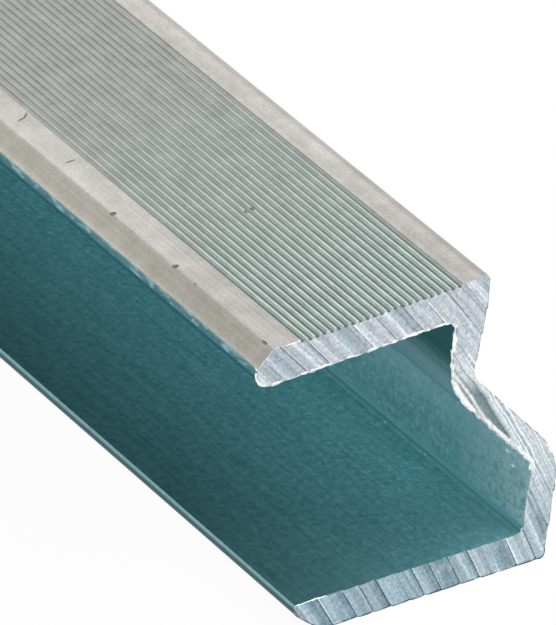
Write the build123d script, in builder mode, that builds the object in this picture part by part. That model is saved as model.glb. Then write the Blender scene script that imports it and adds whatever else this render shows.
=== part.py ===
from build123d import *
from math import cos, radians, sin, tan
import os

# One length of joggled aluminium channel, extruded in one piece and sawn square at both ends.
# The section lies in the XZ plane and the bar runs along Y. The channel opens towards -X.
# Its lower flange lies on the ground, and its upper flange carries a band of fine flutes.

# Bar
length = 1000.0
overall_width = 46.8

# Lower flange, with a long bevel under its free edge
lower_flange_reach = 33.0
lower_flange_thickness = 4.6
lower_tip_face = 1.3
lower_bevel_width = 4.3

# Back of the channel: an upright lower wall, a slanting wall, and a web set in by the joggle
lower_wall_thickness = 3.8
lower_wall_height = 9.9
slant_angle = 45.0
slant_thickness = 2.8
joggle = 14.5
web_thickness = 4.0
web_lean = 4.2

# Upper flange, which droops a little towards its free edge
channel_height = 33.8
droop = 2.8
upper_flange_thickness = 4.8
upper_tip_flat = 0.4
upper_bevel_width = 1.9

# Flutes in the top of the upper flange, between two plain lands
flute_pitch = 1.0
flute_width = 0.7
flute_depth = 0.4
outer_land = 4.1
tip_land = 3.8

# Corner radii
inner_bottom_radius = 1.0
inner_top_radius = 1.5
inner_kink_radius = 0.8
inner_shoulder_radius = 12.0
outer_neck_radius = 3.0
outer_shoulder_radius = 10.0
outer_web_radius = 20.0
outer_top_radius = 0.8
outer_bottom_radius = 0.8
upper_nose_radius = 2.2
crest_radius = 0.5
bevel_radius = 0.8
least_flat = 0.05


def along(start, angle, distance):
    """The point at a distance from start, in the direction of an angle in degrees."""
    return Vector(start.X + distance * cos(radians(angle)), start.Y + distance * sin(radians(angle)))


def meet(first, first_angle, second, second_angle):
    """Where the line through first at one angle crosses the line through second at another."""
    gap = second - first
    turn = sin(radians(second_angle - first_angle))
    run = (gap.X * sin(radians(second_angle)) - gap.Y * cos(radians(second_angle))) / turn
    return along(first, first_angle, run)


def fitted_radii(corners):
    """Each corner's radius. Where two rounds would meet on a wall, they shrink by the same share."""
    count = len(corners)
    walls = [corners[(i + 1) % count][0] - corners[i][0] for i in range(count)]
    spans = [
        radius * tan(radians(walls[i - 1].get_angle(walls[i]) / 2))
        for i, (_, radius) in enumerate(corners)
    ]
    shares = [
        min(1, walls[i].length / (spans[i] + spans[(i + 1) % count] + least_flat))
        for i in range(count)
    ]
    return [radius * min(shares[i - 1], shares[i]) for i, (_, radius) in enumerate(corners)]


# Lower part of the section. Its zero is under the inner face of the lower wall.
floor_height = lower_flange_thickness
heel_outer = Vector(lower_wall_thickness, 0)
heel_inner = Vector(0, floor_height)
lower_tip_top = Vector(-lower_flange_reach, floor_height)
lower_tip_bottom = lower_tip_top - Vector(0, lower_tip_face)
lower_bevel_end = Vector(-lower_flange_reach + lower_bevel_width, 0)

# Slanting wall, from the kink above the lower wall up to the web
slant_direction = 180 - slant_angle
kink_inner = Vector(0, floor_height + lower_wall_height)
slant_outer = along(kink_inner, slant_direction - 90, slant_thickness)
shoulder_outer = meet(heel_outer, 90, slant_outer, slant_direction)
shoulder_inner = meet(Vector(-joggle, 0), 90, kink_inner, slant_direction)

# Upper flange and web
ceiling_root = Vector(-joggle, floor_height + channel_height)
top_line = along(ceiling_root, 90 + droop, upper_flange_thickness)
web_outer_top = meet(top_line, droop, Vector(web_thickness - joggle, 0), 90)
web_outer_root = Vector(web_outer_top.X, ceiling_root.Y)
neck_outer = meet(web_outer_root, 90 - web_lean, slant_outer, slant_direction)
tip_x = lower_wall_thickness - overall_width
upper_tip_bottom = meet(ceiling_root, droop, Vector(tip_x, 0), 90)
upper_nose_height = upper_nose_radius * tan(radians((90 + droop) / 2))
upper_tip_top = upper_tip_bottom + Vector(0, upper_nose_height + upper_tip_flat)
crest = meet(top_line, droop, Vector(tip_x + upper_bevel_width, 0), 90)

# Outline, anticlockwise from the heel, each corner with its radius
outline = [
    (heel_outer, outer_bottom_radius),
    (shoulder_outer, outer_shoulder_radius),
    (neck_outer, outer_neck_radius),
    (web_outer_root, outer_web_radius),
    (web_outer_top, outer_top_radius),
    (crest, crest_radius),
    (upper_tip_top, crest_radius),
    (upper_tip_bottom, upper_nose_radius),
    (ceiling_root, inner_top_radius),
    (shoulder_inner, inner_shoulder_radius),
    (kink_inner, inner_kink_radius),
    (heel_inner, inner_bottom_radius),
    (lower_tip_top, 0),
    (lower_tip_bottom, bevel_radius),
    (lower_bevel_end, bevel_radius),
]

# As many flutes as the lands leave room for, counted from the outer land.
# A flute is an arc, its centre above the top of the flange.
flute_room = (crest - web_outer_top).length - outer_land - tip_land
flute_count = 1 + int((flute_room - flute_width) / flute_pitch)
flute_radius = (flute_width**2 / 4 + flute_depth**2) / (2 * flute_depth)
flute_reach = outer_land + flute_width / 2 + (flute_count - 1) * flute_pitch / 2
flute_middle = along(web_outer_top, 180 + droop, flute_reach)
flute_centre = along(flute_middle, 90 + droop, flute_radius - flute_depth)

# The origin is midway along the bar and midway across it, on the ground
section_plane = Plane.XZ.shift_origin((overall_width / 2 - lower_wall_thickness, 0, 0))

with BuildPart() as fluted_channel:
    with BuildSketch(section_plane) as section:
        with BuildLine():
            Polyline(*[corner for corner, _ in outline], close=True)
        make_face()
        for (corner, _), radius in zip(outline, fitted_radii(outline)):
            if radius:
                fillet(section.vertices().sort_by_distance(corner)[0], radius)
        with Locations(Location((flute_centre.X, flute_centre.Y, 0), droop)):
            with GridLocations(flute_pitch, 1, flute_count, 1):
                Circle(flute_radius, mode=Mode.SUBTRACT)
    extrude(amount=length / 2, both=True)

fluted_channel.part.label = "fluted_channel"
print(flute_count, "flutes, section area", round(fluted_channel.part.volume / length, 1), "mm2")

os.makedirs("parts", exist_ok=True)
export_step(fluted_channel.part, "parts/fluted_channel.step")
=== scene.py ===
# %% [markdown]
# # A length of fluted aluminium channel
#
# This file dresses one bar of extruded aluminium. The bar's section comes from the CAD model, and what a saw,
# a die and a workshop leave on real stock is added here: saw marks, burrs, nicks and the finish of each face.
#
# X runs across the bar from its open side to its back, Y runs along it, and Z goes up from the floor. Blender
# works in metres, and the sizes of the bar's details are written in millimetres.

# %% Load the part
import random
from bisect import bisect
from math import cos, radians, sin

import bpy
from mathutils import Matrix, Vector


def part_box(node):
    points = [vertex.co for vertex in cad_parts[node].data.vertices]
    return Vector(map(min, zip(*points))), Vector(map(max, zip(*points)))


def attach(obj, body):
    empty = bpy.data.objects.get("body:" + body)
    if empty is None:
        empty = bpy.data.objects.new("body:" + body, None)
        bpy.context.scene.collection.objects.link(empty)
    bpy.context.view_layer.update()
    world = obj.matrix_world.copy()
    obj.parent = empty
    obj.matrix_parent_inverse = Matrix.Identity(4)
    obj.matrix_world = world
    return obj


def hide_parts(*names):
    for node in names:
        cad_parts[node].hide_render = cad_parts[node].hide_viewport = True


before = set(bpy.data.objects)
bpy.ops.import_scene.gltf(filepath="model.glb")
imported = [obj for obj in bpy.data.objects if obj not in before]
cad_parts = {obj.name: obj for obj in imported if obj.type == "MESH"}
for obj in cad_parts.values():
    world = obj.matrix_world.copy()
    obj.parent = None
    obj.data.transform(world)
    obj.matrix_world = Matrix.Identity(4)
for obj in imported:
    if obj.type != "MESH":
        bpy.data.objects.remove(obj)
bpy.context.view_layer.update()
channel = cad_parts["fluted_channel"]
low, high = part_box("fluted_channel")
MM = 0.001
print("bar", [round(side / MM, 2) for side in high - low], "mm")

# %% [markdown]
# ## Camera
#
# The photograph shows only the sawn end of the bar, from its open side and a little above. The edges that run
# along the bar hardly converge, so the lens is long and stands about a metre away. Its place and turn were worked
# out from the corners of the cut.

# %% Place the camera
bpy.ops.object.select_all(action="DESELECT")
bpy.ops.object.camera_add(
    location=(-0.54403, -1.12728, 0.56067),
    rotation=(radians(57.609), radians(-6.199), radians(-35.869)),
)
camera = bpy.context.object
camera.name = "photo_camera"
camera.data.sensor_width = 36
camera.data.lens = 498.7
camera.data.clip_end = 50
bpy.context.scene.camera = camera
bpy.context.scene.view_settings.view_transform = "Standard"
print("lens", round(camera.data.lens, 1), "mm")

# %% [markdown]
# ## Helpers for materials
#
# A material is a tree of nodes. One small function adds a node, sets it and links it, so that each finish below
# reads as a list of what it is made of. Colours are written as on a screen, and the shader wants them linear.


# %% Node and colour helpers
def colour(code):
    """A screen colour such as D0CCC7, as the linear colour that a shader reads."""
    screen = [int(code[i : i + 2], 16) / 255 for i in (0, 2, 4)]
    return [c / 12.92 if c <= 0.04045 else ((c + 0.055) / 1.055) ** 2.4 for c in screen] + [1]


def add(tree, kind, settings=None, links=None):
    """Adds a node. Settings are its properties and the values of its inputs. Links feed its inputs, each from
    an output or from a node, which then gives its first output in use."""
    made = tree.nodes.new(kind)
    for name, value in (settings or {}).items():
        if isinstance(name, str) and hasattr(made, name):
            setattr(made, name, value)
        else:
            made.inputs[name].default_value = value
    for name, source in (links or {}).items():
        if isinstance(source, bpy.types.Node):
            source = next(output for output in source.outputs if output.enabled)
        tree.links.new(source, made.inputs[name])
    return made


def new_material(name):
    """An empty material, its tree, and the bar's own coordinates in metres."""
    material = bpy.data.materials.new(name)
    material.use_nodes = True
    tree = material.node_tree
    tree.nodes.clear()
    return material, tree, add(tree, "ShaderNodeTexCoord").outputs["Object"]


def per_metre(millimetres):
    """How many cells of that size fit in a metre, which is what a texture's scale asks for."""
    return 1000 / millimetres


print("mid grey for a shader", round(colour("808080")[0], 3))

# %% [markdown]
# ## Floor, world and lamps
#
# The bar lies on a plain white floor. The background is white where the camera or a reflection sees it, and what
# lights the bar is weaker, so that a colour renders about as it is written. The floor mixes a little of the light
# that falls on it with light of its own, so it reads as white paper and still keeps the bar's soft shadow.


# %% World
def seen_directly(tree):
    """1 for what the camera, a reflection or glass sees, and 0 for what only lights the scene."""
    ray = add(tree, "ShaderNodeLightPath").outputs
    seen = ray["Is Camera Ray"]
    for reflected in (ray["Is Glossy Ray"], ray["Is Transmission Ray"]):
        seen = add(tree, "ShaderNodeMath", {"operation": "MAXIMUM"}, {0: seen, 1: reflected})
    return seen


world = bpy.data.worlds.new("white_studio")
bpy.context.scene.world = world
world.use_nodes = True
sky = world.node_tree
sky.nodes.clear()
strength = add(sky, "ShaderNodeMapRange", {"To Min": 0.5, "To Max": 1.0}, {"Value": seen_directly(sky)})
backdrop = add(sky, "ShaderNodeBackground", {"Color": colour("FFFFFF")}, {"Strength": strength})
add(sky, "ShaderNodeOutputWorld", None, {"Surface": backdrop})
print("world", world.name)

# %% Floor
bpy.ops.mesh.primitive_plane_add(size=8, location=(0, 0, 0))
floor = bpy.context.object
floor.name = "floor"
paper, tree, _ = new_material("matt_white_paper")
share = add(tree, "ShaderNodeMath", {"operation": "MULTIPLY", 1: 0.95}, {0: seen_directly(tree)})
matt = add(tree, "ShaderNodeBsdfDiffuse", {"Color": colour("F8F8F8")})
white = add(tree, "ShaderNodeEmission", {"Color": colour("FFFFFF"), "Strength": 1.0})
mixed = add(tree, "ShaderNodeMixShader", None, {"Fac": share, 1: matt, 2: white})
add(tree, "ShaderNodeOutputMaterial", None, {"Surface": mixed})
floor.data.materials.append(paper)
print("floor", floor.name)

# %% Lamps
NEAR_END = (0, -0.45, 0.02)


def soft_lamp(name, place, size, power):
    """A square lamp that faces the near end of the bar."""
    bpy.ops.object.light_add(type="AREA", location=place)
    lamp = bpy.context.object
    lamp.name = name
    lamp.data.size = size
    lamp.data.energy = power
    lamp.rotation_euler = (Vector(NEAR_END) - Vector(place)).to_track_quat("-Z", "Y").to_euler()


soft_lamp("key_lamp", (0.9, -0.9, 1.5), 1.2, 26)
soft_lamp("side_lamp", (-1.4, -0.9, 0.9), 1.0, 8)

# %% [markdown]
# ## The bar's skin outside
#
# This is mill-finish aluminium: metal as it leaves the extrusion press, neither polished nor anodised. The die
# drags fine lines along the whole length, and handling leaves the skin faintly cloudy. To the eye it is a warm,
# satin grey whose fine streaks all run one way. A real die line is under a tenth of a millimetre wide, and here
# it is drawn about three times coarser, so that it shows at this size. The grain is drawn coarser too.

# %% Die lines, clouds and grain
mill_finish, tree, place = new_material("mill_finish_aluminium")
along_bar = {"Scale": (per_metre(0.3), per_metre(90), per_metre(0.3))}
stretched = add(tree, "ShaderNodeMapping", along_bar, {"Vector": place})
lines = add(tree, "ShaderNodeTexNoise", {"Scale": 1, "Detail": 2}, {"Vector": stretched})
cloud_size = {"Scale": per_metre(2.5), "Detail": 3, "Roughness": 0.6}
clouds = add(tree, "ShaderNodeTexNoise", cloud_size, {"Vector": place})
grain = add(tree, "ShaderNodeTexNoise", {"Scale": per_metre(0.35), "Detail": 1}, {"Vector": place})
spot = add(tree, "ShaderNodeSeparateXYZ", None, {"Vector": place}).outputs
from_middle = add(tree, "ShaderNodeMath", {"operation": "ABSOLUTE"}, {0: spot["Y"]})
print("mill finish: die lines, clouds and grain")

# %% [markdown]
# The finish isn't the same all over. The bevel of the lip is painted darker than the flange, as shade, because it
# faces away from the key lamp, and the strip on each side of the flutes, which hands and rags rub, is darker too.
# Each such place is a mask, a number from 0 to 1 that Map Range works out from where a point lies, and a Mix node
# lays its colour down by that mask.

# %% Bevel and lands
FLUTES_MIDDLE, FLUTES_HALF_WIDTH = -6.365 * MM, 11.37 * MM

bevel = add(tree, "ShaderNodeMapRange", {"From Min": -21.2 * MM, "From Max": -21.5 * MM}, {"Value": spot["X"]})
offset = add(tree, "ShaderNodeMath", {"operation": "SUBTRACT", 1: FLUTES_MIDDLE}, {0: spot["X"]})
from_flutes = add(tree, "ShaderNodeMath", {"operation": "ABSOLUTE"}, {0: offset})
rubbed = add(tree, "ShaderNodeMapRange", {"From Min": 15 * MM, "From Max": 12 * MM}, {"Value": from_flutes})
land_colours = {"data_type": "RGBA", 6: colour("CFCBC6"), 7: colour("C4C0BC")}
land = add(tree, "ShaderNodeMix", land_colours, {0: rubbed})
# The bevel's darker colour is painted shade.
plain_skin = add(tree, "ShaderNodeMix", {"data_type": "RGBA", 7: colour("B1AEA5")}, {0: bevel, 6: land})
print("mill finish: bevel and lands")

# %% [markdown]
# Grime settles in the flutes, and they lie in shade. The top of the flange slopes a little, so depth is measured
# below its sloping line and not below a level one. A flute is painted pale at its rim, as a highlight, and dark at
# its bottom near the cuts, as grime and shade, and both it and the ridges beside it are an even grey further from
# the cuts.

# %% Grime and painted shade in the flutes
TOP_LEVEL = 42.956  # the height of the top of the upper flange at the middle of the bar's width, in millimetres
TOP_RISE = 0.0489  # how much it rises for each millimetre towards the back

fluted_band = {"operation": "COMPARE", 1: FLUTES_MIDDLE, 2: FLUTES_HALF_WIDTH}
fluted = add(tree, "ShaderNodeMath", fluted_band, {0: spot["X"]})
height = add(tree, "ShaderNodeVectorMath", {"operation": "DOT_PRODUCT", 1: (-TOP_RISE, 0, 1)}, {0: place})
depth = add(tree, "ShaderNodeMath", {"operation": "SUBTRACT", 0: TOP_LEVEL * MM}, {1: height})
sunk = add(tree, "ShaderNodeMapRange", {"From Min": 0.016 * MM, "From Max": 0.056 * MM}, {"Value": depth})
deep = add(tree, "ShaderNodeMapRange", {"From Min": 0.136 * MM, "From Max": 0.336 * MM}, {"Value": depth})
in_flute = add(tree, "ShaderNodeMath", {"operation": "MULTIPLY"}, {0: sunk, 1: fluted})
far_in = {"From Min": 492 * MM, "From Max": 440 * MM, "To Max": 0.9}
fainter_far_in = add(tree, "ShaderNodeMapRange", far_in, {"Value": from_middle})
# A painted highlight at a flute's rim, and painted shade with some grime at its bottom.
rim_and_bottom = {"data_type": "RGBA", 6: colour("E2ECE9"), 7: colour("707F7B")}
grime_and_shade = add(tree, "ShaderNodeMix", rim_and_bottom, {0: deep})
grime_and_shade = add(tree, "ShaderNodeMix", {"data_type": "RGBA", 7: colour("B6B7B2")}, {0: fainter_far_in, 6: grime_and_shade})
ridge_colours = {"data_type": "RGBA", 6: colour("CAD4CF"), 7: colour("A4A6A1")}
ridge = add(tree, "ShaderNodeMix", ridge_colours, {0: fainter_far_in})
banded = add(tree, "ShaderNodeMix", {"data_type": "RGBA"}, {0: fluted, 6: plain_skin, 7: ridge})
grimed_and_shaded = add(tree, "ShaderNodeMix", {"data_type": "RGBA"}, {0: in_flute, 6: banded, 7: grime_and_shade})
print("mill finish: grime in the flutes")

# %% [markdown]
# Last come the factors that make the skin lighter or darker: the rounded back edge gets painted shade, the foot
# of the bevel a painted highlight, and the plain lands are darker next to the cuts. The three noises vary all of
# it.

# %% Light and dark of the mill finish
# Painted shade on the rounded back edge, and a painted highlight at the foot of the bevel.
shaded_back = {"From Min": 7.6 * MM, "From Max": 8 * MM, "To Min": 1, "To Max": 0.78}
back_edge_shade = add(tree, "ShaderNodeMapRange", shaded_back, {"Value": spot["X"]})
foot = add(tree, "ShaderNodeMapRange", {"From Min": 40.3 * MM, "From Max": 40 * MM}, {"Value": spot["Z"]})
highlit_foot = add(tree, "ShaderNodeMath", {"operation": "MULTIPLY"}, {0: foot, 1: bevel})
glint = add(tree, "ShaderNodeMath", {"operation": "MULTIPLY_ADD", 1: 0.25, 2: 1}, {0: highlit_foot})
near_cuts = {"From Min": 470 * MM, "From Max": 486 * MM, "To Min": 1, "To Max": 0.87}
dimmed_near_cuts = add(tree, "ShaderNodeMapRange", near_cuts, {"Value": from_middle})
dimmed_land = add(tree, "ShaderNodeMath", {"operation": "MAXIMUM"}, {0: dimmed_near_cuts, 1: fluted})
factors = [back_edge_shade, glint, dimmed_land]
for noise, darkest, lightest in ((clouds, 0.9, 1.06), (lines, 0.92, 1.05), (grain, 0.93, 1.07)):
    swing = {"From Min": 0.3, "From Max": 0.7, "To Min": darkest, "To Max": lightest}
    factors.append(add(tree, "ShaderNodeMapRange", swing, {"Value": noise}))
shade = factors[0]
for factor in factors[1:]:
    shade = add(tree, "ShaderNodeMath", {"operation": "MULTIPLY"}, {0: shade, 1: factor})
print("mill finish:", len(factors), "factors of its shade")

# %% Put the mill finish together
tint = add(tree, "ShaderNodeVectorMath", {"operation": "SCALE"}, {0: grimed_and_shaded, "Scale": shade})
satin = add(tree, "ShaderNodeMapRange", {"To Min": 0.34, "To Max": 0.5}, {"Value": clouds})
relief = add(tree, "ShaderNodeMath", {"operation": "ADD"}, {0: lines, 1: grain})
bump = add(tree, "ShaderNodeBump", {"Strength": 0.25, "Distance": 0.02 * MM}, {"Height": relief})
metal = add(
    tree, "ShaderNodeBsdfPrincipled", {"Metallic": 1.0}, {"Base Color": tint, "Roughness": satin, "Normal": bump}
)
add(tree, "ShaderNodeOutputMaterial", None, {"Surface": metal})
print("material", mill_finish.name)

# %% [markdown]
# ## The walls inside the channel
#
# Inside, the walls lie in shade, which looks dark and blue-green, and that blue-green is painted into the skin as
# a light blue-green: light enters only through the mouth and the cut, and bounces from wall to wall, and each
# bounce deepens the tint, so the bounces make it dark. It is a little rougher than outside, and mottled. The
# walls, the edge of the lower flange and the nose of the upper one share this skin, so one function makes its
# mottle and another its metal.


# %% Blue-green skin of painted shade
def mottled_skin(name, dark, light):
    """A new material with blue-green skin, mottled from dark to light: its colour, and the relief of its bumps."""
    material, tree, place = new_material(name)
    along_bar = {"Scale": (per_metre(0.5), per_metre(9), per_metre(0.5))}
    stretched = add(tree, "ShaderNodeMapping", along_bar, {"Vector": place})
    lines = add(tree, "ShaderNodeTexNoise", {"Scale": 1, "Detail": 2}, {"Vector": stretched})
    mottle_size = {"Scale": per_metre(0.9), "Detail": 3, "Roughness": 0.7}
    mottle = add(tree, "ShaderNodeTexNoise", mottle_size, {"Vector": place})
    relief = add(tree, "ShaderNodeMath", {"operation": "MULTIPLY_ADD", 1: 0.5}, {0: lines, 2: mottle})
    spread = add(tree, "ShaderNodeMapRange", {"From Min": 0.5, "From Max": 1.0}, {"Value": relief})
    mottled = {"data_type": "RGBA", 6: colour(dark), 7: colour(light)}
    return material, tree, place, add(tree, "ShaderNodeMix", mottled, {0: spread}), relief


def shade_tinted_metal(tree, tint, relief, reflection="FFFFFF"):
    """The metal under such a skin. What it reflects at a grazing angle is white unless a colour is given."""
    bump = add(tree, "ShaderNodeBump", {"Strength": 0.3, "Distance": 0.03 * MM}, {"Height": relief})
    values = {"Metallic": 0.93, "Roughness": 0.5, "Specular Tint": colour(reflection)}
    metal = add(tree, "ShaderNodeBsdfPrincipled", values, {"Base Color": tint, "Normal": bump})
    add(tree, "ShaderNodeOutputMaterial", None, {"Surface": metal})


# The blue-green of the inside skin is painted shade.
inside_skin, tree, place, skin, relief = mottled_skin("blue_green_shade_skin", "5F9A9A", "8DC0C4")
spot = add(tree, "ShaderNodeSeparateXYZ", None, {"Vector": place}).outputs
from_middle = add(tree, "ShaderNodeMath", {"operation": "ABSOLUTE"}, {0: spot["Y"]})
# The skin is painted darker towards the mouth and lighter towards the back, as shade and light.
to_back = {"From Min": -14 * MM, "From Max": 15 * MM, "To Min": 0.66, "To Max": 1.18}
painted_light_to_back = add(tree, "ShaderNodeMapRange", to_back, {"Value": spot["X"]})
inside_tint = add(tree, "ShaderNodeVectorMath", {"operation": "SCALE"}, {0: skin, "Scale": painted_light_to_back})
print("inside skin: mottle")

# %% [markdown]
# The slanting wall is paler, because it faces the light from the mouth. Stacked bars have chafed the back in
# flecks, and near each cut the wall is scuffed in blotches. Noises draw both, and masks keep each to its place.

# %% Slanting wall, chafing and scuffs
over_wall = {"From Min": 8 * MM, "From Max": 16 * MM, "To Max": 0.55}
over_wall = add(tree, "ShaderNodeMapRange", over_wall, {"Value": spot["Z"]})
under_web = add(tree, "ShaderNodeMapRange", {"From Min": 32 * MM, "From Max": 28 * MM}, {"Value": spot["Z"]})
on_slant = add(tree, "ShaderNodeMath", {"operation": "MULTIPLY"}, {0: over_wall, 1: under_web})

fleck_size = {"Scale": (per_metre(0.45), per_metre(0.7), per_metre(0.45))}
stretched = add(tree, "ShaderNodeMapping", fleck_size, {"Vector": place})
flecks = add(tree, "ShaderNodeTexNoise", {"Scale": 1, "Detail": 2, "Roughness": 0.6}, {"Vector": stretched})
fleck = add(tree, "ShaderNodeMapRange", {"From Min": 0.52, "From Max": 0.76, "To Max": 0.5}, {"Value": flecks})
at_back = add(tree, "ShaderNodeMapRange", {"From Min": -6 * MM, "From Max": 14 * MM}, {"Value": spot["X"]})
chafed = add(tree, "ShaderNodeMath", {"operation": "MULTIPLY"}, {0: fleck, 1: at_back})

blotch_size = {"Scale": per_metre(0.8), "Detail": 3, "Roughness": 0.7}
blotches = add(tree, "ShaderNodeTexNoise", blotch_size, {"Vector": place})
scuffed = add(tree, "ShaderNodeMapRange", {"From Min": 0.34, "From Max": 0.56, "To Max": 0.9}, {"Value": blotches})
near_cut = add(tree, "ShaderNodeMapRange", {"From Min": 485 * MM, "From Max": 499 * MM}, {"Value": from_middle})
on_wall = add(tree, "ShaderNodeMapRange", {"From Min": 10 * MM, "From Max": 18 * MM}, {"Value": spot["X"]})
off_bottom = {"From Min": 4.8 * MM, "From Max": 6 * MM, "To Min": 0.25}
off_bottom = add(tree, "ShaderNodeMapRange", off_bottom, {"Value": spot["Z"]})
for mask in (near_cut, on_wall, off_bottom):
    scuffed = add(tree, "ShaderNodeMath", {"operation": "MULTIPLY"}, {0: scuffed, 1: mask})
bared = add(tree, "ShaderNodeMath", {"operation": "MAXIMUM"}, {0: chafed, 1: scuffed})
print("inside skin: slanting wall, chafing and scuffs")

# %% [markdown]
# The bottom beside the cut and the corner where the bottom meets the wall are painted darker, as shade, and the
# top of the web is painted in deep shade. Each mask then gets its colour, one laid over the other.

# %% Painted shade, and the whole inside skin
CORNER_LINE = (19.42 * MM, 0, 5.0 * MM)

on_bottom = {"From Min": 5.2 * MM, "From Max": 4.7 * MM, "To Max": 0.35}
on_bottom = add(tree, "ShaderNodeMapRange", on_bottom, {"Value": spot["Z"]})
bottom_shade_by_cut = add(tree, "ShaderNodeMath", {"operation": "MULTIPLY"}, {0: near_cut, 1: on_bottom})
on_section = add(tree, "ShaderNodeVectorMath", {"operation": "MULTIPLY", 1: (1, 0, 1)}, {0: place})
gap = add(tree, "ShaderNodeVectorMath", {"operation": "DISTANCE", 1: CORNER_LINE}, {0: on_section})
corner_shade = add(tree, "ShaderNodeMapRange", {"From Min": 0.6 * MM, "From Max": 0.25 * MM}, {"Value": gap})
high_up = add(tree, "ShaderNodeMapRange", {"From Min": 29 * MM, "From Max": 33 * MM}, {"Value": spot["Z"]})
# Light on the slant, then chafing, then painted shade by the cut, in the corner and at the top of the web.
for mask, code in (
    (on_slant, "C0E2F4"),
    (bared, "DAECF4"),
    (bottom_shade_by_cut, "3A7078"),
    (corner_shade, "58959E"),
    (high_up, "235A5E"),
):
    paint = {"data_type": "RGBA", 7: colour(code)}
    inside_tint = add(tree, "ShaderNodeMix", paint, {0: mask, 6: inside_tint})
shade_tinted_metal(tree, inside_tint, relief)
print("material", inside_skin.name)

# %% [markdown]
# The edge of the lower flange has the same skin, painted dark where it turns under, as shade. The nose of the
# upper flange is painted darkest beneath, as shade, chipped to paler metal above, and worn grey where it meets the
# bevel, and its reflection at a grazing angle is painted dark blue-green.

# %% Edge of the lower flange
lip_skin, tree, place, skin, relief = mottled_skin("blue_green_shade_edge", "74A0A5", "86B4B9")
level = add(tree, "ShaderNodeSeparateXYZ", None, {"Vector": place}).outputs["Z"]
# The edge is painted darker where it turns under, as shade.
shade_under_edge = {"From Min": 3.95 * MM, "From Max": 4.2 * MM, "To Min": 0.3, "To Max": 1}
shade_under_edge = add(tree, "ShaderNodeMapRange", shade_under_edge, {"Value": level})
edge_tint = add(tree, "ShaderNodeVectorMath", {"operation": "SCALE"}, {0: skin, "Scale": shade_under_edge})
shade_tinted_metal(tree, edge_tint, relief)
print("material", lip_skin.name)

# %% Nose of the upper flange
nose_skin, tree, place, nose_tint, relief = mottled_skin("blue_green_shade_nose", "577F85", "6B989F")
level = add(tree, "ShaderNodeSeparateXYZ", None, {"Vector": place}).outputs["Z"]
# Painted shade beneath the nose.
shade_beneath = add(tree, "ShaderNodeMapRange", {"From Min": 38.9 * MM, "From Max": 38.65 * MM}, {"Value": level})
chip_size = {"Scale": (per_metre(0.7), per_metre(1.8), per_metre(0.7))}
stretched = add(tree, "ShaderNodeMapping", chip_size, {"Vector": place})
chips = add(tree, "ShaderNodeTexNoise", {"Scale": 1, "Detail": 3, "Roughness": 0.65}, {"Vector": stretched})
chip = add(tree, "ShaderNodeMapRange", {"From Min": 0.52, "From Max": 0.62, "To Max": 0.75}, {"Value": chips})
above = add(tree, "ShaderNodeMapRange", {"From Min": 38.75 * MM, "From Max": 38.95 * MM}, {"Value": level})
chipped = add(tree, "ShaderNodeMath", {"operation": "MULTIPLY"}, {0: chip, 1: above})
by_bevel = {"From Min": 39.5 * MM, "From Max": 39.8 * MM, "To Max": 0.8}
worn = add(tree, "ShaderNodeMapRange", by_bevel, {"Value": level})
for mask, code in ((shade_beneath, "4C7F88"), (chipped, "A6CCD6"), (worn, "90A09F")):
    nose_tint = add(tree, "ShaderNodeMix", {"data_type": "RGBA", 7: colour(code)}, {0: mask, 6: nose_tint})
# The nose's reflection at a grazing angle is painted dark blue-green, as shade.
shade_tinted_metal(tree, nose_tint, relief, reflection="3F666E")
print("material", nose_skin.name)

# %% [markdown]
# ## The sawn metal
#
# A circular saw leaves bare, bright metal. Each tooth drags a curved facet across the cut, with fine scratches in
# it, and a torn burr at the edge. The facets tilt a little, and which catch light and which lie in shade is
# painted: a lit and a rougher, shaded copy of the sawn metal, a painted shadow line where one facet steps down to
# the next, and the burr painted near-white as a highlight on fresh torn metal. The four finishes differ in colour,
# roughness and shine, so one function makes them. Its patterns are arcs: a noise that depends only on the distance
# from the blade's centre.
# Real scratches are finer than these.

# %% Arcs of the saw
BLADE_CENTRE = Vector((-158.4, 0, -95)) * MM


def blade_radius(tree, place):
    """The distance from the blade's centre in metres, wavering a little, because a tooth chatters."""
    from_blade = add(tree, "ShaderNodeVectorMath", {"operation": "SUBTRACT", 1: BLADE_CENTRE}, {0: place})
    on_section = add(tree, "ShaderNodeVectorMath", {"operation": "MULTIPLY", 1: (1, 0, 1)}, {0: from_blade})
    radius = add(tree, "ShaderNodeVectorMath", {"operation": "LENGTH"}, {0: on_section})
    waver = add(tree, "ShaderNodeTexNoise", {"Scale": per_metre(3), "Detail": 1}, {"Vector": place})
    return add(tree, "ShaderNodeMath", {"operation": "MULTIPLY_ADD", 1: 0.6 * MM}, {0: waver, 2: radius})


def arcs(tree, radius, width, detail):
    """A noise in arcs about the blade's centre, each about as wide as width says, in millimetres."""
    across = add(tree, "ShaderNodeMath", {"operation": "MULTIPLY", 1: per_metre(width)}, {0: radius})
    settings = {"noise_dimensions": "1D", "Scale": 1, "Detail": detail}
    return add(tree, "ShaderNodeTexNoise", settings, {"W": across})


print("blade's centre", [round(c / MM, 1) for c in BLADE_CENTRE], "mm")

# %% [markdown]
# Three places of the cut differ from the rest: the blade rubbed the back of the section bright, one tooth tore a
# dull streak across the slanting wall, and the lower flange is painted darker, as shade. Each is a mask again.

# %% Places on the cut
STREAK_RADIUS = 207.9 * MM


def burnished(tree, spot):
    """How much the blade rubbed the metal of the back bright, from 0 to 1: most on its slanting part."""
    above = add(tree, "ShaderNodeMapRange", {"From Min": 6 * MM, "From Max": 16 * MM}, {"Value": spot["Z"]})
    below = add(tree, "ShaderNodeMapRange", {"From Min": 36 * MM, "From Max": 30 * MM}, {"Value": spot["Z"]})
    return add(tree, "ShaderNodeMath", {"operation": "MULTIPLY"}, {0: above, 1: below})


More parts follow.
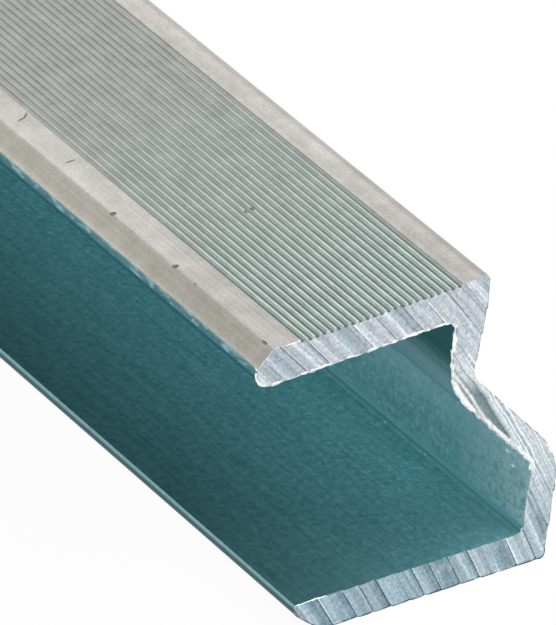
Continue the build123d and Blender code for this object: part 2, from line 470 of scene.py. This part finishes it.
def torn_streak(tree, spot, radius):
    """A dull streak that one tooth tore across the slanting wall, from 0 to 1."""
    off = add(tree, "ShaderNodeMath", {"operation": "SUBTRACT", 1: STREAK_RADIUS}, {0: radius})
    off = add(tree, "ShaderNodeMath", {"operation": "ABSOLUTE"}, {0: off})
    beside = add(tree, "ShaderNodeMapRange", {"From Min": 0.75 * MM, "From Max": 0.35 * MM}, {"Value": off})
    above = add(tree, "ShaderNodeMapRange", {"From Min": 17 * MM, "From Max": 20 * MM}, {"Value": spot["Z"]})
    below = add(tree, "ShaderNodeMapRange", {"From Min": 30 * MM, "From Max": 27 * MM}, {"Value": spot["Z"]})
    within = add(tree, "ShaderNodeMath", {"operation": "MULTIPLY"}, {0: above, 1: below})
    return add(tree, "ShaderNodeMath", {"operation": "MULTIPLY"}, {0: beside, 1: within})


def lower_flange_shade(tree, spot):
    """1 on the lower flange's cut, which is painted darker than the rest, as shade, and 0 elsewhere."""
    under = add(tree, "ShaderNodeMapRange", {"From Min": 5.4 * MM, "From Max": 4.8 * MM}, {"Value": spot["Z"]})
    before = add(tree, "ShaderNodeMapRange", {"From Min": 19 * MM, "From Max": 5 * MM}, {"Value": spot["X"]})
    return add(tree, "ShaderNodeMath", {"operation": "MULTIPLY"}, {0: under, 1: before})


print("torn streak", round(STREAK_RADIUS / MM, 1), "mm from the blade's centre")

# %% [markdown]
# The bare metal is painted a little darker and bluer at the bottom of the section than at the top, as shade, with
# smears of a paler tone. The three places are laid over it, and scratches, torn pits and the broad ribs of a
# chattering blade vary its shade.


# %% Sawn aluminium
def bare_colour(tree, place, radius, scratches, upper, lower, streaked):
    """The colour of the cut, from upper at the top of the section to lower at its bottom, painted darker below as
    shade.
    """
    spot = add(tree, "ShaderNodeSeparateXYZ", None, {"Vector": place}).outputs
    # Painted lighter at the top of the section and darker at its bottom, as light and shade.
    lit_towards_top = add(tree, "ShaderNodeMapRange", {"From Min": 4 * MM, "From Max": 40 * MM}, {"Value": spot["Z"]})
    bare = {"data_type": "RGBA", 6: colour(lower), 7: colour(upper)}
    bare = add(tree, "ShaderNodeMix", bare, {0: lit_towards_top})
    smear_size = {"Scale": per_metre(1.3), "Detail": 2, "Roughness": 0.6}
    smears = add(tree, "ShaderNodeTexNoise", smear_size, {"Vector": place})
    in_smear = {"From Min": 0.5, "From Max": 0.66, "To Max": 0.6}
    smeared = add(tree, "ShaderNodeMapRange", in_smear, {"Value": smears})
    by_scratch = {"From Min": 0.4, "From Max": 0.6, "To Min": 0.05, "To Max": 0.85}
    polish = add(tree, "ShaderNodeMapRange", by_scratch, {"Value": scratches})
    rubbed = add(tree, "ShaderNodeMath", {"operation": "MULTIPLY"}, {0: burnished(tree, spot), 1: polish})
    streak = torn_streak(tree, spot, radius)
    streak = add(tree, "ShaderNodeMath", {"operation": "MULTIPLY", 1: streaked}, {0: streak})
    for mask, code, blend in (
        (smeared, "C3C9D2", "MIX"),
        (rubbed, "EDF1F1", "MIX"),
        # The lower flange is painted darker, as shade.
        (lower_flange_shade(tree, spot), "E2EDF0", "MULTIPLY"),
        (streak, "6E898F", "MIX"),
    ):
        paint = {"data_type": "RGBA", "blend_type": blend, 7: colour(code)}
        bare = add(tree, "ShaderNodeMix", paint, {0: mask, 6: bare})
    return bare


def sawn_metal(name, upper, lower, roughness, metallic=1.0, streaked=0.9):
    """Bare sawn metal. streaked is how much of the torn streak shows on it."""
    material, tree, place = new_material(name)
    radius = blade_radius(tree, place)
    scratches = arcs(tree, radius, 0.35, detail=2)
    pit_size = {"Scale": per_metre(0.45), "Detail": 3, "Roughness": 0.75}
    pits = add(tree, "ShaderNodeTexNoise", pit_size, {"Vector": place})
    relief = add(tree, "ShaderNodeMath", {"operation": "MULTIPLY_ADD", 1: 0.45}, {0: scratches, 2: pits})
    rough = {"From Min": 0.5, "From Max": 0.95, "To Min": 0.66, "To Max": 1.34}
    rough = add(tree, "ShaderNodeMapRange", rough, {"Value": relief})
    ribbed = {"From Min": 0.3, "From Max": 0.7, "To Min": 0.84, "To Max": 1.16}
    ribbed = add(tree, "ShaderNodeMapRange", ribbed, {"Value": arcs(tree, radius, 1.2, detail=0)})
    shade = add(tree, "ShaderNodeMath", {"operation": "MULTIPLY"}, {0: rough, 1: ribbed})
    bare = bare_colour(tree, place, radius, scratches, upper, lower, streaked)
    tint = add(tree, "ShaderNodeVectorMath", {"operation": "SCALE"}, {0: bare, "Scale": shade})
    bump = add(tree, "ShaderNodeBump", {"Strength": 0.5, "Distance": 0.05 * MM}, {"Height": relief})
    values = {"Metallic": metallic, "Roughness": roughness}
    metal = add(tree, "ShaderNodeBsdfPrincipled", values, {"Base Color": tint, "Normal": bump})
    add(tree, "ShaderNodeOutputMaterial", None, {"Surface": metal})
    return material


# Lit and shaded copies of the sawn metal, a painted shadow line, and the burr painted near-white as a highlight.
lit_cut = sawn_metal("sawn_aluminium_lit", "CAD2D8", "B7C9D2", 0.35)
rough_shaded_cut = sawn_metal("sawn_aluminium_rough_shaded", "B2BFC8", "93ABB6", 0.45)
tooth_shadow_line = sawn_metal("sawn_aluminium_tooth_shadow_line", "83949E", "4A6674", 0.5)
burr_and_highlight = sawn_metal("torn_aluminium_burr_highlight", "FAFBFB", "F2F6F7", 0.4, metallic=0.5, streaked=0)
print("materials", [m.name for m in (lit_cut, rough_shaded_cut, tooth_shadow_line, burr_and_highlight)])

# %% [markdown]
# ## Bruised metal
#
# Where the bar was struck, the skin is crushed, and the pit is coloured a dull, dark grey with no shine.

# %% Dark bruise
bruise, tree, place = new_material("dark_grey_bruised_aluminium")
pit_mottle = add(tree, "ShaderNodeTexNoise", {"Scale": per_metre(0.4), "Detail": 2}, {"Vector": place})
pit_grey = add(tree, "ShaderNodeMix", {"data_type": "RGBA", 6: colour("5A5853"), 7: colour("7E7B73")}, {0: pit_mottle})
crushed = add(tree, "ShaderNodeBsdfPrincipled", {"Roughness": 0.9}, {"Base Color": pit_grey})
add(tree, "ShaderNodeOutputMaterial", None, {"Surface": crushed})
print("material", bruise.name)

# %% [markdown]
# ## The bar
#
# The CAD model's mesh is copied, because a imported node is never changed. It is loose triangles, so its doubles
# are merged and its flat walls made whole first. Then the bar is made a little too long, as a real one is before
# it is cut to length, and a narrow bevel takes the sharpness off its long edges so that they catch the light.

# %% Copy the bar and soften its edges
SAME_POINT = 0.0005 * MM
OVERLENGTH = 1.004


def activate(piece):
    """Makes one piece the only one selected."""
    bpy.ops.object.select_all(action="DESELECT")
    piece.select_set(True)
    bpy.context.view_layer.objects.active = piece


def modify(piece, kind, **settings):
    """Adds a modifier and applies it."""
    activate(piece)
    modifier = piece.modifiers.new(kind.title(), kind)
    for name, value in settings.items():
        setattr(modifier, name, value)
    bpy.ops.object.modifier_apply(modifier=modifier.name)


bar = bpy.data.objects.new("fluted_channel_bar", channel.data.copy())
bpy.context.scene.collection.objects.link(bar)
activate(bar)
bpy.ops.object.mode_set(mode="EDIT")
bpy.ops.mesh.select_all(action="SELECT")
bpy.ops.mesh.remove_doubles(threshold=SAME_POINT)
bpy.ops.mesh.dissolve_limited(angle_limit=radians(0.3))
bpy.ops.mesh.select_all(action="SELECT")
bpy.ops.transform.resize(value=(1, OVERLENGTH, 1), center_override=(0, 0, 0))
bpy.ops.object.mode_set(mode="OBJECT")
sharp = radians(40)
modify(bar, "BEVEL", width=0.06 * MM, segments=2, limit_method="ANGLE", angle_limit=sharp, use_clamp_overlap=True)
print("bar", len(bar.data.polygons), "faces")

# %% [markdown]
# ## Inside and outside
#
# The walls of the channel get the inside skin. They are found by where they lie and which way they face: the
# ceiling faces down, the bottom faces up, and the back and its slanting part face the mouth.

# %% Give the walls their skins
FINISHES = (mill_finish, inside_skin, lip_skin, nose_skin, lit_cut, rough_shaded_cut, tooth_shadow_line, burr_and_highlight, bruise)
OUTSIDE, INSIDE, LIP, NOSE, LIT, ROUGH_SHADED, SHADOW_LINE, BURR_HIGHLIGHT, BRUISE = range(len(FINISHES))


def give_finishes(piece, finish_of):
    """Gives a piece all the finishes, and each of its faces the one that finish_of(face) names."""
    piece.data.materials.clear()
    for material in FINISHES:
        piece.data.materials.append(material)
    for face in piece.data.polygons:
        face.material_index = finish_of(face)


def skin_of(face):
    """The skin of one face of the bar, from its middle in millimetres and the way it faces."""
    x, z = face.center.x / MM, face.center.z / MM
    upper_lip = x < -20.8 and z > 36 and (face.normal.x < -0.85 or face.normal.z < -0.05)
    lower_lip = x < -13.3 and z < 4.55
    ceiling = face.normal.z < -0.02 and z > 36.5 and x < 6
    bottom = face.normal.z > 0.02 and z < 8 and x < 19.7
    back = face.normal.x < -0.2 and x > 4.5 and z < 38.5
    if upper_lip:
        return NOSE
    if lower_lip:
        return LIP
    return INSIDE if ceiling or bottom or back else OUTSIDE


give_finishes(bar, skin_of)
skins = [face.material_index for face in bar.data.polygons]
print("faces inside", skins.count(INSIDE), "on the lip", skins.count(LIP), "on the nose", skins.count(NOSE))

# %% [markdown]
# ## The saw's marks
#
# Each end was cut by a circular saw, which came from below on the open side. Its teeth leave arcs about the
# blade's centre, uneven in width and depth. The tool for this is a block whose inner face carries those arcs: one
# point is extruded outwards from the blade's centre in small steps, up and down like the edge of a saw, and that
# edge is spun about the blade's centre. A boolean takes the block away from the bar and leaves its marks behind.

# %% Sizes of the saw's marks
NEAR_BITES = [
    172.5, 175.6, 178.5, 181.5, 183.5, 185.6, 188.0, 189.9, 192.0, 194.4, 196.9, 199.2,
    201.7, 204.2, 207.2, 209.6, 212.1, 214.3, 216.8, 219.4, 221.5,
]
FIRST_ANGLE, SWEEP, SPIN_STEPS = 24, 25, 190
SHALLOWEST, DEEPEST = 0.03 * MM, 0.28 * MM
LIP_WIDTH, LINE_WIDTH = 0.12 * MM, 0.13 * MM
print("near saw:", len(NEAR_BITES) - 1, "bites, up to", round((SHALLOWEST + DEEPEST) / MM, 2), "mm deep")

# %% [markdown]
# A bite is the facet of one tooth. It has four steps: a narrow lip, sometimes torn and then given the burr's
# painted highlight, then a shallow part and a deep part, each given the lit or the shaded finish, and last the
# painted shadow line at the foot of the next bite. Random numbers with a fixed seed choose among them, so that the
# cut comes out the same each time.


# %% Make the saw block
def bite_steps(bite_width, random_number):
    """The steps of one bite: how far each goes outwards, the depth it ends at, and its finish."""
    low_point = random_number(0.4, 1) * DEEPEST
    lip = random_number(0, 0.2) * DEEPEST
    middle = random_number(0.4, 0.65)
    facets = [LIT if random_number(0, 1) < share else ROUGH_SHADED for share in (0.85, 0.3)]
    return [
        (LIP_WIDTH, lip, BURR_HIGHLIGHT if random_number(0, 1) < 0.3 else LIT),
        (middle * bite_width, lip + (low_point - lip) * random_number(0.2, 0.6), facets[0]),
        ((1 - middle) * bite_width - LIP_WIDTH - LINE_WIDTH, low_point, facets[1]),
        (LINE_WIDTH, low_point, SHADOW_LINE if random_number(0, 1) < 0.85 else ROUGH_SHADED),
    ]


def saw_block(name, end, seed, bites):
    """A block that cuts the bar off at one end. end is -1 for the near end and 1 for the far one.
    bites are the radii in millimetres where one tooth's facet steps down to the next."""
    random_number = random.Random(seed).uniform
    outward = Vector((cos(radians(FIRST_ANGLE)), 0, sin(radians(FIRST_ANGLE))))
    start_level = end * (high.y - SHALLOWEST)
    bpy.ops.mesh.primitive_plane_add(size=MM, location=(0, 0, 0))
    block = bpy.context.object
    block.name = name
    bpy.ops.object.mode_set(mode="EDIT")
    bpy.ops.mesh.merge(type="CENTER")
    bpy.ops.transform.translate(value=BLADE_CENTRE + outward * bites[0] * MM + Vector((0, start_level, 0)))
    radius, depth, limits, finishes = bites[0] * MM, 0, [], []
    for here, after in zip(bites, bites[1:]):
        for run, level, finish in bite_steps((after - here) * MM, random_number):
            move = outward * run + Vector((0, -end * (level - depth), 0))
            bpy.ops.mesh.extrude_region_move(TRANSFORM_OT_translate={"value": move})
            radius, depth = radius + run, level
            limits.append(radius)
            finishes.append(finish)
    bpy.ops.mesh.select_all(action="SELECT")
    bpy.ops.mesh.spin(steps=SPIN_STEPS, angle=radians(SWEEP), center=BLADE_CENTRE, axis=(0, 1, 0))
    bpy.ops.object.mode_set(mode="OBJECT")

    def arc_finish(face):
        """The finish of a face's arc. The back of the section has no dark lines and no torn lips."""
        reach = (Vector((face.center.x, 0, face.center.z)) - BLADE_CENTRE).length
        finish = finishes[min(bisect(limits, reach), len(finishes) - 1)]
        in_back = face.center.x > 5.1 * MM and 5 * MM < face.center.z < 38 * MM
        return {SHADOW_LINE: ROUGH_SHADED, BURR_HIGHLIGHT: LIT}.get(finish, finish) if in_back else finish

    give_finishes(block, arc_finish)
    return block


near_saw = saw_block("near_saw", -1, 7, NEAR_BITES)
print("near saw", len(near_saw.data.polygons), "faces", [round(s / MM, 1) for s in near_saw.dimensions])

# %% [markdown]
# A real facet isn't smooth either, so fine waves are put in the block's face. Then it is given thickness, away
# from the bar, so that the boolean can use it. The far end has bites of its own, because no two cuts are alike.


# %% Roughen, close and cut
def roughen(piece, name, size, strength, mid_level, direction, detail=2):
    """Pushes a surface up and down in lumps of a size, by a strength, along an axis or its own normals."""
    texture = bpy.data.textures.new(name, "CLOUDS")
    texture.noise_scale = size
    texture.noise_depth = detail
    settings = {"texture": texture, "texture_coords": "LOCAL", "direction": direction}
    modify(piece, "DISPLACE", mid_level=mid_level, strength=strength, **settings)


def merge(piece, distance):
    """Joins the points that lie closer than a distance, and turns all faces outwards."""
    activate(piece)
    bpy.ops.object.mode_set(mode="EDIT")
    bpy.ops.mesh.select_all(action="SELECT")
    bpy.ops.mesh.remove_doubles(threshold=distance)
    bpy.ops.mesh.normals_make_consistent(inside=False)
    bpy.ops.object.mode_set(mode="OBJECT")


def close_block(block, end):
    """Thickens the marked face into a closed block, away from the bar."""
    activate(block)
    bpy.ops.object.mode_set(mode="EDIT")
    bpy.ops.mesh.select_all(action="SELECT")
    bpy.ops.mesh.extrude_region_move(TRANSFORM_OT_translate={"value": (0, end * 12 * MM, 0)})
    bpy.ops.object.mode_set(mode="OBJECT")
    merge(block, SAME_POINT)


def cut(piece, tool):
    """Takes the tool away from the piece, and clears the tool away."""
    modify(piece, "BOOLEAN", object=tool, operation="DIFFERENCE", solver="EXACT", material_mode="INDEX")
    bpy.data.objects.remove(tool)


LAST_BITE = 221
far_spacing = random.Random(11)
far_bites = [NEAR_BITES[0]]
while far_bites[-1] < LAST_BITE:
    far_bites.append(far_bites[-1] + far_spacing.uniform(1.8, 3.0))
far_saw = saw_block("far_saw", 1, 11, far_bites)
for saw, end in ((near_saw, -1), (far_saw, 1)):
    roughen(saw, saw.name + "_waves", 1.2 * MM, 0.05 * MM, 0.5, "Y", detail=1)
    close_block(saw, end)
    cut(bar, saw)
print("bar", len(bar.data.polygons), "faces, length", round(bar.dimensions.y / MM, 3), "mm")

# %% [markdown]
# ## Nicks and scratches
#
# Bars knock against each other in the rack, and the crest of the lip and the plain lands take the blows. Each
# mark is a small ellipsoid, placed where the photograph shows it, and a boolean takes it out of the bar. They are
# taken one by one, because two of them run into each other.

# %% Strike the nicks
HALF_LENGTH = 500


def dent(x, y, length, width, depth, turn=0):
    """An ellipsoid on the top of the upper flange, in millimetres. y is from the near end, and its length
    runs across the bar."""
    bpy.ops.object.select_all(action="DESELECT")
    bpy.ops.mesh.primitive_uv_sphere_add(segments=20, ring_count=12, radius=1)
    tool = bpy.context.object
    tool.scale = Vector((length / 2, width / 2, depth)) * MM
    tool.rotation_euler.z = radians(turn)
    tool.location = Vector((x, y - HALF_LENGTH, TOP_LEVEL + TOP_RISE * x)) * MM
    bpy.ops.object.transform_apply(location=True, rotation=True, scale=True)
    give_finishes(tool, lambda face: BRUISE if x < 0 else OUTSIDE)
    return tool


dents = [
    dent(-21.6, 31.8, 1.5, 0.7, 0.14),
    dent(-21.6, 19.4, 1.5, 0.7, 0.14),
    dent(-21.8, 15.4, 0.9, 0.5, 0.09),
    dent(-21.6, 1.9, 0.8, 1.1, 0.13),
    dent(-19.2, 53.4, 2.2, 0.26, 0.05, turn=12),
    dent(-18.3, 53.9, 1.0, 0.26, 0.05, turn=38),
    dent(-19.4, 43.2, 3.0, 0.24, 0.04, turn=2),
    dent(-7.3, 24.6, 1.8, 0.7, 0.14, turn=8),
    dent(6.7, 61.2, 1.1, 0.5, 0.03),
    dent(6.7, 41.6, 1.2, 0.5, 0.03, turn=30),
]
for tool in dents:
    cut(bar, tool)
print("bar", len(bar.data.polygons), "faces after", len(dents), "dents")

# %% [markdown]
# ## The burr and the rims of the cut
#
# As the teeth leave the metal they push a thin curl of it over the inner edge of the cut. It catches more light
# than
# anything else on the bar, and is painted near-white as a highlight. The other edges of the cut keep a thinner
# rim:
# torn and in the lit finish along the top of the lip, and in the painted shadow line behind and below, as a dark
# edge in shade. Each rim is made from the cut's own edges. They are copied, given a round thickness as a curve,
# and made lumpy, which is quicker than shaping a curl and looks the same at this size.

# %% Find the edges of the cut
SAWN = {LIT, ROUGH_SHADED, SHADOW_LINE, BURR_HIGHLIGHT}
END_ZONE = 0.6 * MM


def cut_edges(piece, skins, wanted):
    """Edges at either end where the sawn face meets one of the skins, if wanted(x, z) in millimetres says so."""
    sides = {}
    for face in piece.data.polygons:
        for key in face.edge_keys:
            sides.setdefault(key, set()).add(face.material_index)
    found = []
    for edge in piece.data.edges:
        middle = (piece.data.vertices[edge.vertices[0]].co + piece.data.vertices[edge.vertices[1]].co) / 2
        meets = sides.get(tuple(sorted(edge.vertices)), set())
        at_end = abs(middle.y) > high.y - END_ZONE
        if at_end and meets & SAWN and meets & skins and wanted(middle.x / MM, middle.z / MM):
            found.append(edge.index)
    return found


def copy_edges(piece, edges):
    """A new piece made of copies of some edges."""
    activate(piece)
    bpy.ops.object.mode_set(mode="EDIT")
    bpy.ops.mesh.select_mode(type="EDGE")
    bpy.ops.mesh.select_all(action="DESELECT")
    bpy.ops.object.mode_set(mode="OBJECT")
    for index in edges:
        piece.data.edges[index].select = True
    bpy.ops.object.mode_set(mode="EDIT")
    bpy.ops.mesh.duplicate()
    bpy.ops.mesh.separate(type="SELECTED")
    bpy.ops.object.mode_set(mode="OBJECT")
    return next(other for other in bpy.context.selected_objects if other != piece)


print("edges where the cut meets the outside", len(cut_edges(bar, {OUTSIDE}, lambda x, z: True)))

# %% [markdown]
# The burr's edges follow the saw's facets in and out, so for the burr they are first laid flat in one plane. A
# curve gives the edges their thickness, point by point, and its mesh is then made lumpy and moved inwards until
# nothing of it stands outside the bar's own box.

# %% Make a rim
LEAST_STEP = 0.22 * MM
LEAST_GAP = 0.01 * MM


def thread_along(piece, edges, name, thickness, lumps, sink, finish, inset=None):
    """A lumpy thread of metal along some edges. thickness(x, z) is its radius in millimetres, and it is sunk
    into the bar a little. With an inset it is laid flat first, that far inside the bar's end."""
    rim = copy_edges(piece, edges)
    if inset:
        for vertex in rim.data.vertices:
            vertex.co.y = (high.y - inset * MM) * (1 if vertex.co.y > 0 else -1)
        merge(rim, LEAST_STEP)
    activate(rim)
    bpy.ops.object.convert(target="CURVE")
    for spline in rim.data.splines:
        for point in spline.points:
            point.radius = thickness(point.co.x / MM, point.co.z / MM)
    rim.data.bevel_depth = MM
    rim.data.bevel_resolution = 1
    rim.data.use_fill_caps = True
    bpy.ops.object.convert(target="MESH")
    merge(rim, 0.001 * MM)
    roughen(rim, name + "_lumps", 0.7 * MM, lumps * MM, 0.45, "NORMAL")
    for vertex in rim.data.vertices:
        place, side = vertex.co, 1 if vertex.co.y > 0 else -1
        place.x = max(low.x, min(high.x, place.x))
        place.y = side * min(abs(place.y) - sink * MM, high.y - LEAST_GAP)
        place.z = max(low.z, min(high.z, place.z))
    give_finishes(rim, lambda face: finish)
    print(name, len(edges), "edges,", len(rim.data.polygons), "faces")
    return rim


print("rims stay at least", round(LEAST_GAP / MM, 2), "mm inside the bar's ends")

# %% [markdown]
# Each rim is one row: its name, the skins whose edges it follows, where, its radius there, the height of its
# lumps, how far it is sunk, its finish, and for the burr its inset. All sizes are in millimetres.


# %% Raise the burr and the rims
def of_back(x, z):
    """True behind and below: the outer back, the heel and the underside."""
    return z < 42.6 and (x > 8 or z < 4)


def of_lip_top(x, z):
    """True along the top of the lip, between its nose and the flutes."""
    return z > 39.6 and x < -17.9


RIMS = [
    ("burr", {INSIDE, NOSE}, lambda x, z: z > 13.4, lambda x, z: 0.34 if z < 30 else 0.2, 0.5, 0.1, BURR_HIGHLIGHT, 0.2),
    ("wall_rim", {INSIDE}, lambda x, z: 4.9 < z < 13.4, lambda x, z: 0.1, 0.3, 0.05, LIT, None),
    ("tip_rim", {INSIDE, LIP}, lambda x, z: z > 4.3 and x < -9, lambda x, z: 0.05, 0.1, 0.02, BURR_HIGHLIGHT, None),
    # A painted shadow line along the back and underside of the cut.
    ("back_rim", {OUTSIDE}, of_back, lambda x, z: 0.12 if z < 1 else 0.06, 0.15, 0.04, SHADOW_LINE, None),
    ("lip_rim", {OUTSIDE}, of_lip_top, lambda x, z: 0.06, 0.22, 0.03, LIT, None),
]
rims = [
    thread_along(bar, cut_edges(bar, skins, where), name, thickness, lumps, sink, finish, inset)
    for name, skins, where, thickness, lumps, sink, finish, inset in RIMS
]
print("rims", len(rims))

# %% [markdown]
# ## Crumbs of metal
#
# A few crumbs from the saw stick to the lower wall and lie in its corner, within some centimetres of the cut.
# Each is a small ball, pressed flat, drawn out along the bar and made rough.

# %% Drop the crumbs and join everything
CRUMBS = [(19.5, 4.7, 13.4, 0.34), (19.6, 3.6, 11.9, 0.22), (18.9, 18.5, 4.8, 0.14), (18.7, 26.2, 4.8, 0.16)]


def crumb(x, y, z, radius):
    """A rough grain of metal, in millimetres. y is from the near end."""
    bpy.ops.object.select_all(action="DESELECT")
    bpy.ops.mesh.primitive_ico_sphere_add(subdivisions=2, radius=radius * MM)
    grain = bpy.context.object
    grain.scale = (0.6, 1.5, 0.8)
    grain.location = Vector((x, y - HALF_LENGTH, z)) * MM
    bpy.ops.object.transform_apply(location=True, rotation=False, scale=True)
    roughen(grain, "crumb_lumps", 0.2 * MM, 1.6 * radius * MM, 0.6, "NORMAL")
    give_finishes(grain, lambda face: BURR_HIGHLIGHT)
    return grain


crumbs = [crumb(*crumb_place) for crumb_place in CRUMBS]
activate(bar)
for extra in rims + crumbs:
    extra.select_set(True)
bpy.ops.object.join()
print("bar", len(bar.data.polygons), "faces with its rims and crumbs")

# %% [markdown]
# ## Finish the bar
#
# Rounds are shaded smooth and corners stay sharp, and weighted normals keep the large walls looking flat. The bar
# then stands for the CAD model's bar, and rides on the only body there is.

# %% Smooth the rounds
activate(bar)
bpy.ops.object.shade_smooth_by_angle(angle=radians(32))
modify(bar, "WEIGHTED_NORMAL", keep_sharp=True, weight=100)
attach(bar, "root")
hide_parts("fluted_channel")
print("bar", len(bar.data.vertices), "points")
